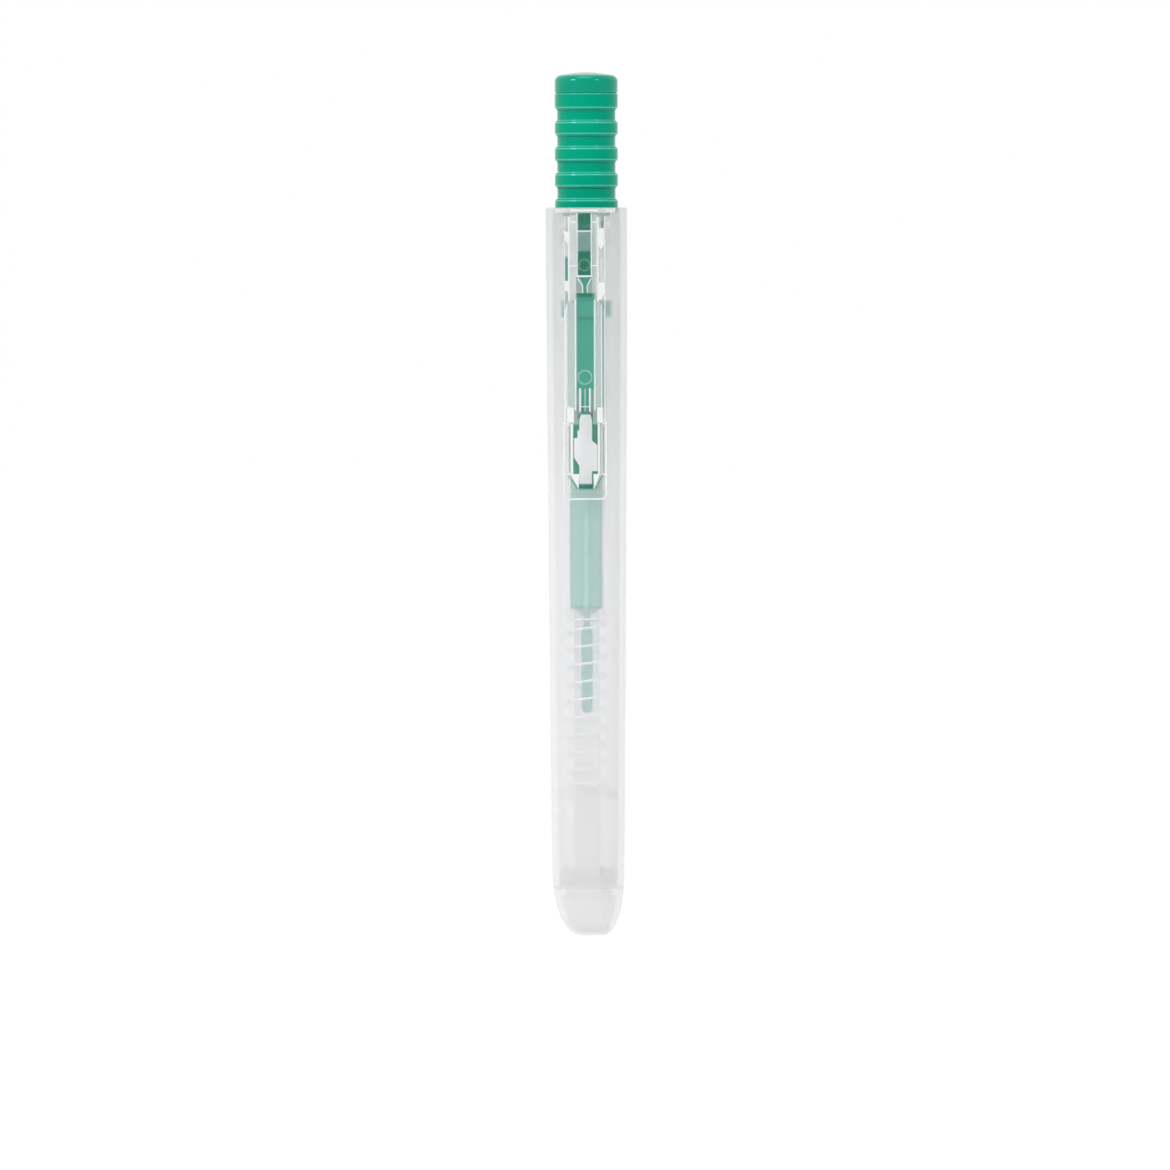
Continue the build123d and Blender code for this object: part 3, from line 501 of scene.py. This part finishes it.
def dress_nodes(materials):
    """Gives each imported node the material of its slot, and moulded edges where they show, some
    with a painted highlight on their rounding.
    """
    for part in frame["record"]["subparts"]:
        name = part["node"]
        slot = part["material_slot"]
        node = frame["nodes"][name]
        node.data.materials.clear()
        node.data.materials.append(materials[NODE_MATERIALS.get(name, slot)])
        if slot in PAINTED_HIGHLIGHT_SLOTS:
            node.data.materials.append(materials[PAINTED_HIGHLIGHT_SLOTS[slot]])
        if name in EDGE_WIDTHS:
            round_edges(node, EDGE_WIDTHS[name], slot in PAINTED_HIGHLIGHT_SLOTS)


def round_edges(piece, width, paint_highlight):
    """Rounds the sharp edges of a mesh; the last argument puts the rounding in the second
    material, a paler one that paints a highlight there.
    """
    weld = piece.modifiers.new("weld", "WELD")
    weld.merge_threshold = WELD_DISTANCE * MM
    bevel = piece.modifiers.new("moulded_edges", "BEVEL")
    bevel.width = width * MM
    bevel.segments = EDGE_SEGMENTS
    bevel.limit_method = "ANGLE"
    bevel.angle_limit = radians(EDGE_ANGLE)
    if paint_highlight:
        bevel.material = 1
    level = piece.modifiers.new("even_normals", "WEIGHTED_NORMAL")
    level.keep_sharp = True


# ---------------------------------------------------------------- mesh helpers
def new_piece(name, mesh_data, material, body, slot, *nodes):
    """An object from a closed bmesh, riding on a body and standing for the named CAD nodes."""
    bmesh.ops.recalc_face_normals(mesh_data, faces=mesh_data.faces)
    mesh = bpy.data.meshes.new(name)
    mesh_data.to_mesh(mesh)
    mesh_data.free()
    piece = bpy.data.objects.new(name, mesh)
    bpy.context.scene.collection.objects.link(piece)
    mesh.materials.append(material)
    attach(piece, body)
    if nodes:
        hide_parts(*nodes)
    return piece


def skin(data, rings, smooth=False):
    """Faces from each ring of vertices to the next, and over both ends."""
    for ring, following in zip(rings, rings[1:]):
        for i, vertex in enumerate(ring):
            after = (i + 1) % len(ring)
            face = data.faces.new((vertex, ring[after], following[after], following[i]))
            face.smooth = smooth
    data.faces.new(rings[-1])
    data.faces.new(reversed(rings[0]))


def sweep(data, sides, profile, place, smooth=False):
    """A closed profile of (radius, height) swept round; place turns x, y, height to a point."""
    rings = []
    for i in range(sides):
        angle = 2 * pi * i / sides
        rings.append([
            data.verts.new(Vector(place(reach * cos(angle), reach * sin(angle), height)) * MM)
            for reach, height in profile
        ])
    for ring, beside in zip(rings, rings[1:] + rings[:1]):
        for i, vertex in enumerate(ring):
            after = (i + 1) % len(ring)
            face = data.faces.new((vertex, beside[i], beside[after], ring[after]))
            face.smooth = smooth


def prism(data, outline, front, back, bevel):
    """A flat piece with a bevelled front edge; outline is a list of (x, z)."""
    count = len(outline)
    centre = [sum(point[i] for point in outline) / count for i in (0, 1)]
    size = max(abs(point[i] - centre[i]) for point in outline for i in (0, 1))
    shrink = 1 - bevel / size
    rings = []
    for y, scale in ((back, 1), (front + bevel, 1), (front, shrink)):
        rings.append([
            data.verts.new(Vector((
                centre[0] + (x - centre[0]) * scale, y, centre[1] + (z - centre[1]) * scale,
            )) * MM) for x, z in outline
        ])
    skin(data, rings)


def slab(data, across, heights, front, depth, bevel):
    """An upright box with a bevelled front, between two sides and two heights."""
    (left, right), (low, high) = across, heights
    outline = ((left, low), (right, low), (right, high), (left, high))
    prism(data, outline, front, front + depth, bevel)


# ---------------------------------------------------------------- return spring
SPRING_TURNS = 11
SPRING_WIRE = 0.45
SPRING_END_PITCH = 1.0
SPRING_STEPS = 32
WIRE_SIDES = 12


def make_spring(materials):
    """The coil with its close end turns, as long as the CAD spring it replaces."""
    low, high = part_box("return_spring")
    mean_radius = (high.x - low.x - SPRING_WIRE * MM) / 2
    centre = (low + high) / 2
    length = high.z - low.z - SPRING_WIRE * MM
    pitch = (length - 2 * SPRING_END_PITCH * MM) / (SPRING_TURNS - 2)
    data = bmesh.new()
    rings = []
    z = low.z + SPRING_WIRE * MM / 2
    for step in range(SPRING_TURNS * SPRING_STEPS + 1):
        turn = step / SPRING_STEPS
        angle = 2 * pi * turn
        outward = Vector((cos(angle), sin(angle), 0))
        point = Vector((centre.x, centre.y, z)) + outward * mean_radius
        close = turn < 1 or turn >= SPRING_TURNS - 1
        rise = SPRING_END_PITCH * MM if close else pitch
        forward = Vector((-sin(angle), cos(angle), 0)) * 2 * pi * mean_radius
        forward += Vector((0, 0, rise))
        upward = outward.cross(forward.normalized())
        ring = []
        for side in range(WIRE_SIDES):
            around = 2 * pi * side / WIRE_SIDES
            offset = (outward * cos(around) + upward * sin(around)) * SPRING_WIRE * MM / 2
            ring.append(data.verts.new(point + offset))
        rings.append(ring)
        z += rise / SPRING_STEPS
    skin(data, rings, smooth=True)
    spring = new_piece(
        "return_coil", data, materials["spring_steel"], "housing", "spring_steel", "return_spring",
    )
    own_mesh(spring)


# ---------------------------------------------------------------- clip's moulded lines
CLIP_FACE = -12.4
LINE_RISE = 0.03
LINE_DEPTH = 0.16
LINE_BEVEL = 0.05
CLIP_LOW = 72.75
CLIP_HIGH = 120.8
CLIP_STEP = 85.7
CLIP_HALF = 3.4
CLIP_FOOT_HALF = 3.6
CLIP_CORNER = 1.1
CORNER_STEPS = 6
RIM_THIN, RIM_THICK = 0.13, 0.26
ARM_LOW = 104.5
RING_SIDES = 48


def line(data, start, end, width):
    """A raised moulded line on the clip's face, from start to end, both (x, z)."""
    way = Vector((end[0] - start[0], end[1] - start[1])).normalized()
    side = Vector((-way.y, way.x)) * width / 2
    first, last = Vector(start), Vector(end)
    edge = side.normalized()
    rise = CLIP_FACE - LINE_RISE
    rings = []
    for y, inset in ((rise + LINE_DEPTH, 0), (rise + LINE_BEVEL, 0), (rise, LINE_BEVEL)):
        corners = (
            first - side + (way + edge) * inset, last - side + (edge - way) * inset,
            last + side - (way + edge) * inset, first + side + (way - edge) * inset,
        )
        rings.append([data.verts.new(Vector((point.x, y, point.y)) * MM) for point in corners])
    skin(data, rings)


def ring_mark(data, x, z, radius, width):
    """A raised ring on the clip's face."""
    profile = (
        (radius, LINE_DEPTH), (radius, LINE_BEVEL), (radius - LINE_BEVEL, 0),
        (radius - width + LINE_BEVEL, 0), (radius - width, LINE_BEVEL),
        (radius - width, LINE_DEPTH),
    )
    front = CLIP_FACE - LINE_RISE
    sweep(
        data, RING_SIDES, profile, lambda across, up, depth: (x + across, front + depth, z + up),
    )


def clip_outline(data):
    """The rim round the clip, with its step and its rounded foot, drawn bright as a painted
    highlight.
    """
    thin, thick = RIM_THIN, RIM_THICK
    low = CLIP_LOW + CLIP_CORNER
    reach = CLIP_CORNER - thick / 2
    for side in (-1, 1):
        upper = side * (CLIP_HALF - thin / 2)
        line(data, (upper, CLIP_HIGH - CLIP_CORNER), (upper, ARM_LOW), thin)
        lower = side * (CLIP_HALF - thick / 2)
        line(data, (lower, ARM_LOW), (lower, CLIP_STEP), thick)
        foot = side * (CLIP_FOOT_HALF - thick / 2)
        line(data, (lower, CLIP_STEP), (foot, CLIP_STEP - thick / 2), thick)
        line(data, (foot, CLIP_STEP), (foot, low), thick)
        arc = [
            (
                side * (CLIP_FOOT_HALF - CLIP_CORNER + reach * cos(pi / 2 * i / CORNER_STEPS)),
                low - reach * sin(pi / 2 * i / CORNER_STEPS),
            ) for i in range(CORNER_STEPS + 1)
        ]
        for start, end in zip(arc, arc[1:]):
            line(data, start, end, thick)
    base = CLIP_LOW + thick / 2
    half = CLIP_FOOT_HALF - CLIP_CORNER
    line(data, (-half, base), (half, base), thick)
    top = CLIP_HIGH - thick / 2
    half = CLIP_HALF - CLIP_CORNER
    line(data, (-half, top), (half, top), thick)


# raised lines as start, end and width, in (x, z) read off the photograph
LINES = (
    # the slot's edges above, and its two cross bars
    ((-1.27, 120.2), (-1.27, 109.6), 0.20), ((1.10, 120.2), (1.10, 109.6), 0.20),
    ((-1.2, 117.25), (1.05, 117.25), 0.22), ((-1.2, 109.75), (1.05, 109.75), 0.28),
    # the funnel below it
    ((-1.15, 109.4), (-0.38, 108.2), 0.16), ((1.05, 109.4), (0.42, 108.2), 0.16),
    ((-0.36, 108.3), (-0.36, 107.0), 0.16), ((0.42, 108.3), (0.42, 107.0), 0.16),
    # the long ribs beside the slot, with their cross ribs
    ((-2.62, 119.6), (-2.62, 105.5), 0.28), ((2.20, 119.6), (2.20, 105.5), 0.24),
    ((-2.45, 118.75), (-1.3, 118.75), 0.20), ((1.2, 118.75), (2.2, 118.75), 0.20),
    ((-2.45, 111.5), (-1.3, 111.5), 0.20), ((1.2, 111.5), (2.2, 111.5), 0.20),
    # beside the middle stripe
    ((-1.58, 105.8), (-1.58, 87.4), 0.24), ((1.62, 105.8), (1.62, 87.4), 0.24),
    ((-3.0, 105.0), (-3.0, 87.9), 0.18), ((2.75, 105.0), (2.75, 87.9), 0.18),
    ((-0.82, 91.1), (-0.82, 87.2), 0.26), ((0.78, 91.1), (0.78, 87.2), 0.26),
    ((-0.75, 88.0), (0.75, 88.0), 0.14), ((0.0, 91.0), (0.0, 87.2), 0.10),
    # round the catch window
    ((-2.2, 85.2), (-2.2, 76.8), 0.34), ((2.25, 85.2), (2.25, 76.8), 0.34),
    ((-3.45, 85.2), (-2.95, 85.2), 0.16), ((2.95, 85.2), (3.45, 85.2), 0.16),
    ((-3.4, 76.75), (-2.4, 76.75), 0.14), ((2.4, 76.75), (3.4, 76.75), 0.14),
)
SHADES = (
    # thin edges that lie in shade: beside the lower stripe, round the window and at the arms
    ((-1.2, 91.0), (-1.2, 85.8), 0.14), ((1.17, 91.0), (1.17, 85.8), 0.14),
    ((-2.62, 84.8), (-2.62, 77.2), 0.12), ((3.05, 84.8), (3.05, 77.2), 0.12),
    ((3.15, 105.0), (3.15, 86.0), 0.12), ((1.17, 76.8), (1.17, 74.6), 0.14),
    ((-2.9, 76.5), (-2.45, 76.1), 0.14), ((-2.45, 76.1), (-1.35, 74.3), 0.14),
    ((2.95, 76.5), (2.6, 76.1), 0.14), ((2.6, 76.1), (1.75, 74.3), 0.14),
)
# outlines of thick places, white with painted highlight, and of hazy, milky and painted shade
# places, as (x, z) read off the photograph
BOSSES = (
    ((-3.5, 117.2), (-2.3, 117.2), (-2.3, 115.6), (-2.7, 114.9), (-3.2, 115.6)),
    ((2.25, 117.7), (3.2, 117.7), (3.2, 115.0), (2.7, 114.2), (2.25, 115.0)),
    ((-3.3, 109.0), (-2.5, 109.0), (-2.5, 107.2), (-3.3, 107.2)),
    ((2.2, 108.7), (3.3, 108.7), (3.3, 107.0), (2.7, 105.8), (2.2, 105.8)),
    ((-2.95, 87.9), (-1.85, 87.9), (-1.85, 85.3), (-2.95, 85.3)),
    ((2.0, 87.9), (2.95, 87.9), (2.95, 85.3), (2.0, 85.3)),
    ((-2.5, 76.8), (-1.0, 76.8), (-1.1, 74.4)),
    ((1.35, 76.8), (2.45, 76.8), (1.5, 74.4)),
)
MISTS = (
    ((-1.15, 117.1), (1.0, 117.1), (1.0, 114.0), (-1.15, 114.0)),
)
MILKS = (
    ((-2.45, 120.0), (-1.4, 120.0), (-1.4, 107.0), (-2.45, 107.0)),
    ((1.2, 120.0), (2.1, 120.0), (2.1, 107.0), (1.2, 107.0)),
    ((-2.9, 105.4), (-1.72, 105.4), (-1.72, 88.0), (-2.9, 88.0)),
    ((1.76, 105.4), (2.65, 105.4), (2.65, 88.0), (1.76, 88.0)),
    ((-3.25, 85.0), (-2.65, 85.0), (-2.65, 77.0), (-3.25, 77.0)),
    ((2.5, 85.0), (3.0, 85.0), (3.0, 77.0), (2.5, 77.0)),
)
SHADOWS = (
    ((-1.15, 120.2), (1.0, 120.2), (1.0, 117.4), (-1.15, 117.4)),
    ((-1.15, 113.9), (1.0, 113.9), (1.0, 109.9), (-1.15, 109.9)),
    ((-1.4, 106.9), (1.3, 106.9), (1.3, 106.3), (-1.4, 106.3)),
    ((-1.05, 75.2), (1.15, 75.2), (1.15, 74.4), (-1.05, 74.4)),
)


def lifted(point):
    """A point read off the photograph, moved to where it lies on the clip's nearer face."""
    x, z = point
    nearness = -CLIP_FACE / CAMERA_DISTANCE
    return x, z - CLIP_FACE * sin(radians(VIEW_ELEVATION)) - (z - TARGET.z / MM) * nearness


RING_MARKS = (((-0.05, 111.6), 1.0), ((0, 92.9), 1.2))
RING_WIDTH = 0.14
# piece, material, outlines and depth
CLIP_PLATES = (
    ("clip_bosses", "clear_painted_highlight", BOSSES, 0.5),
    ("clip_mist", "clear_mist", MISTS, 0.2),
    ("clip_milk", "clear_milk", MILKS, 0.2),
    ("clip_shadows", "clear_painted_shade", SHADOWS, 0.2),
)
PLATE_BEVEL = 0.08


def clip_piece(name, material, data):
    """A piece that is moulded into the clip and rides on it."""
    new_piece(name, data, material, "clip", "clear_plastic")


def make_clip_details(materials):
    """The edges, ribs, ring marks, thick bosses and places of painted shade of the clear clip; the
    edges, ribs and bosses are white with painted highlight.
    """
    edges = bmesh.new()
    for start, end, width in LINES:
        line(edges, lifted(start), lifted(end), width)
    clip_outline(edges)
    # the raised lines and the rim are white with painted highlight
    clip_piece("clip_lines", materials["clear_painted_highlight"], edges)
    shaded = bmesh.new()
    for start, end, width in SHADES:
        line(shaded, lifted(start), lifted(end), width)
    # thin edges drawn dark with painted shade
    clip_piece("clip_shaded_lines", materials["clear_painted_shade"], shaded)
    rings = bmesh.new()
    for centre, radius in RING_MARKS:
        ring_mark(rings, *lifted(centre), radius, RING_WIDTH)
    clip_piece("clip_rings", materials["clear_ring"], rings)
    for name, material, shapes, depth in CLIP_PLATES:
        data = bmesh.new()
        for outline in shapes:
            placed = [lifted(point) for point in outline]
            prism(data, placed, CLIP_FACE - LINE_RISE / 2, CLIP_FACE + depth, PLATE_BEVEL)
        clip_piece(name, materials[material], data)


# ---------------------------------------------------------------- details of slider and barrel
GROOVE_RADIUS = 4.85
GROOVE_TOPS = (124.55, 128.88, 133.21, 137.54)
GROOVE_SIDES = 96
SHADE_HEIGHT = 0.22
SHADE_DEEP, SHADE_PROUD, SHADE_OVER = 0.05, 0.03, 0.02


def make_groove_shades(materials):
    """Painted shade: a dark ring at the top of each groove of the knob, under the rib."""
    data = bmesh.new()
    inner, outer = GROOVE_RADIUS - SHADE_DEEP, GROOVE_RADIUS + SHADE_PROUD
    for top in GROOVE_TOPS:
        low, high = top - SHADE_HEIGHT, top + SHADE_OVER
        profile = ((inner, low), (outer, low), (outer, high), (inner, high))
        sweep(data, GROOVE_SIDES, profile, lambda x, y, z: (x, y, z), smooth=True)
    new_piece("groove_shades", data, materials["green_painted_shade"], "slider", "green_plastic")


WING_SIDES = ((-2.84, -2.63), (2.63, 2.92))
WING_HEIGHT = (54.5, 72.3)
WING_FRONT = -7.7
WING_DEPTH = 2.9
WING_BEVEL = 0.04


def make_shaft_wings(materials):
    """Two thin clear rails along the shaft's sides, which stand on the spring's washer."""
    data = bmesh.new()
    for sides in WING_SIDES:
        slab(data, sides, WING_HEIGHT, WING_FRONT, WING_DEPTH, WING_BEVEL)
    # the rails are white with painted highlight
    new_piece("shaft_wings", data, materials["clear_painted_highlight"], "slider", "clear_plastic")


RIB_GLOW_FRONT = -7.52
# piece, material, front and the sides of each plate
GLOW_PLATES = (
    ("shaft_glow", "green_glow", -5.32, ((-2.5, -0.47), (0.47, 2.5))),
    ("rib_glow", "green_rib", RIB_GLOW_FRONT, ((-0.42, 0.42),)),
)
GLOW_HEIGHT = (54.9, 76.5)
GLOW_DEPTH = 0.12
GLOW_BEVEL = 0.05
GLOW_LINE = (0.05, 0.16)
GLOW_LINE_HEIGHT = (55.6, 69.5)
GLOW_LINE_BEVEL = 0.02


def make_shaft_glow(materials):
    """The front faces of the shaft and its rib, bright with painted light where light passes
    through, and a fine line of painted highlight.
    """
    for name, material, front, plates in GLOW_PLATES:
        data = bmesh.new()
        for sides in plates:
            slab(data, sides, GLOW_HEIGHT, front, GLOW_DEPTH, GLOW_BEVEL)
        new_piece(name, data, materials[material], "slider", "green_plastic")
    data = bmesh.new()
    front = RIB_GLOW_FRONT - GLOW_DEPTH
    slab(data, GLOW_LINE, GLOW_LINE_HEIGHT, front, GLOW_DEPTH, GLOW_LINE_BEVEL)
    new_piece("shaft_line", data, materials["clear_painted_highlight"], "slider", "green_plastic")


BAND_SIDES = (-5.0, 5.0)
BAND_HEIGHT = (120.3, 121.05)
BAND_FRONT = -9.25
BAND_DEPTH = 0.95
BAND_BEVEL = 0.05


def make_rim_band(materials):
    """The barrel's front rim, whiter than the wall as a painted highlight."""
    data = bmesh.new()
    slab(data, BAND_SIDES, BAND_HEIGHT, BAND_FRONT, BAND_DEPTH, BAND_BEVEL)
    new_piece("rim_band", data, materials["frosted_painted_highlight"], "housing", "frosted_shell")


# ---------------------------------------------------------------- assembly
# how many clear surfaces a ray may pass
CLEAR_SURFACES = 32

scene = bpy.context.scene
scene.view_settings.view_transform = "Standard"
scene.cycles.transparent_max_bounces = CLEAR_SURFACES

add_camera()
add_world()
add_floor()
add_lights()
materials = make_materials()
dress_nodes(materials)
make_spring(materials)
make_clip_details(materials)
make_groove_shades(materials)
make_shaft_wings(materials)
make_shaft_glow(materials)
make_rim_band(materials)
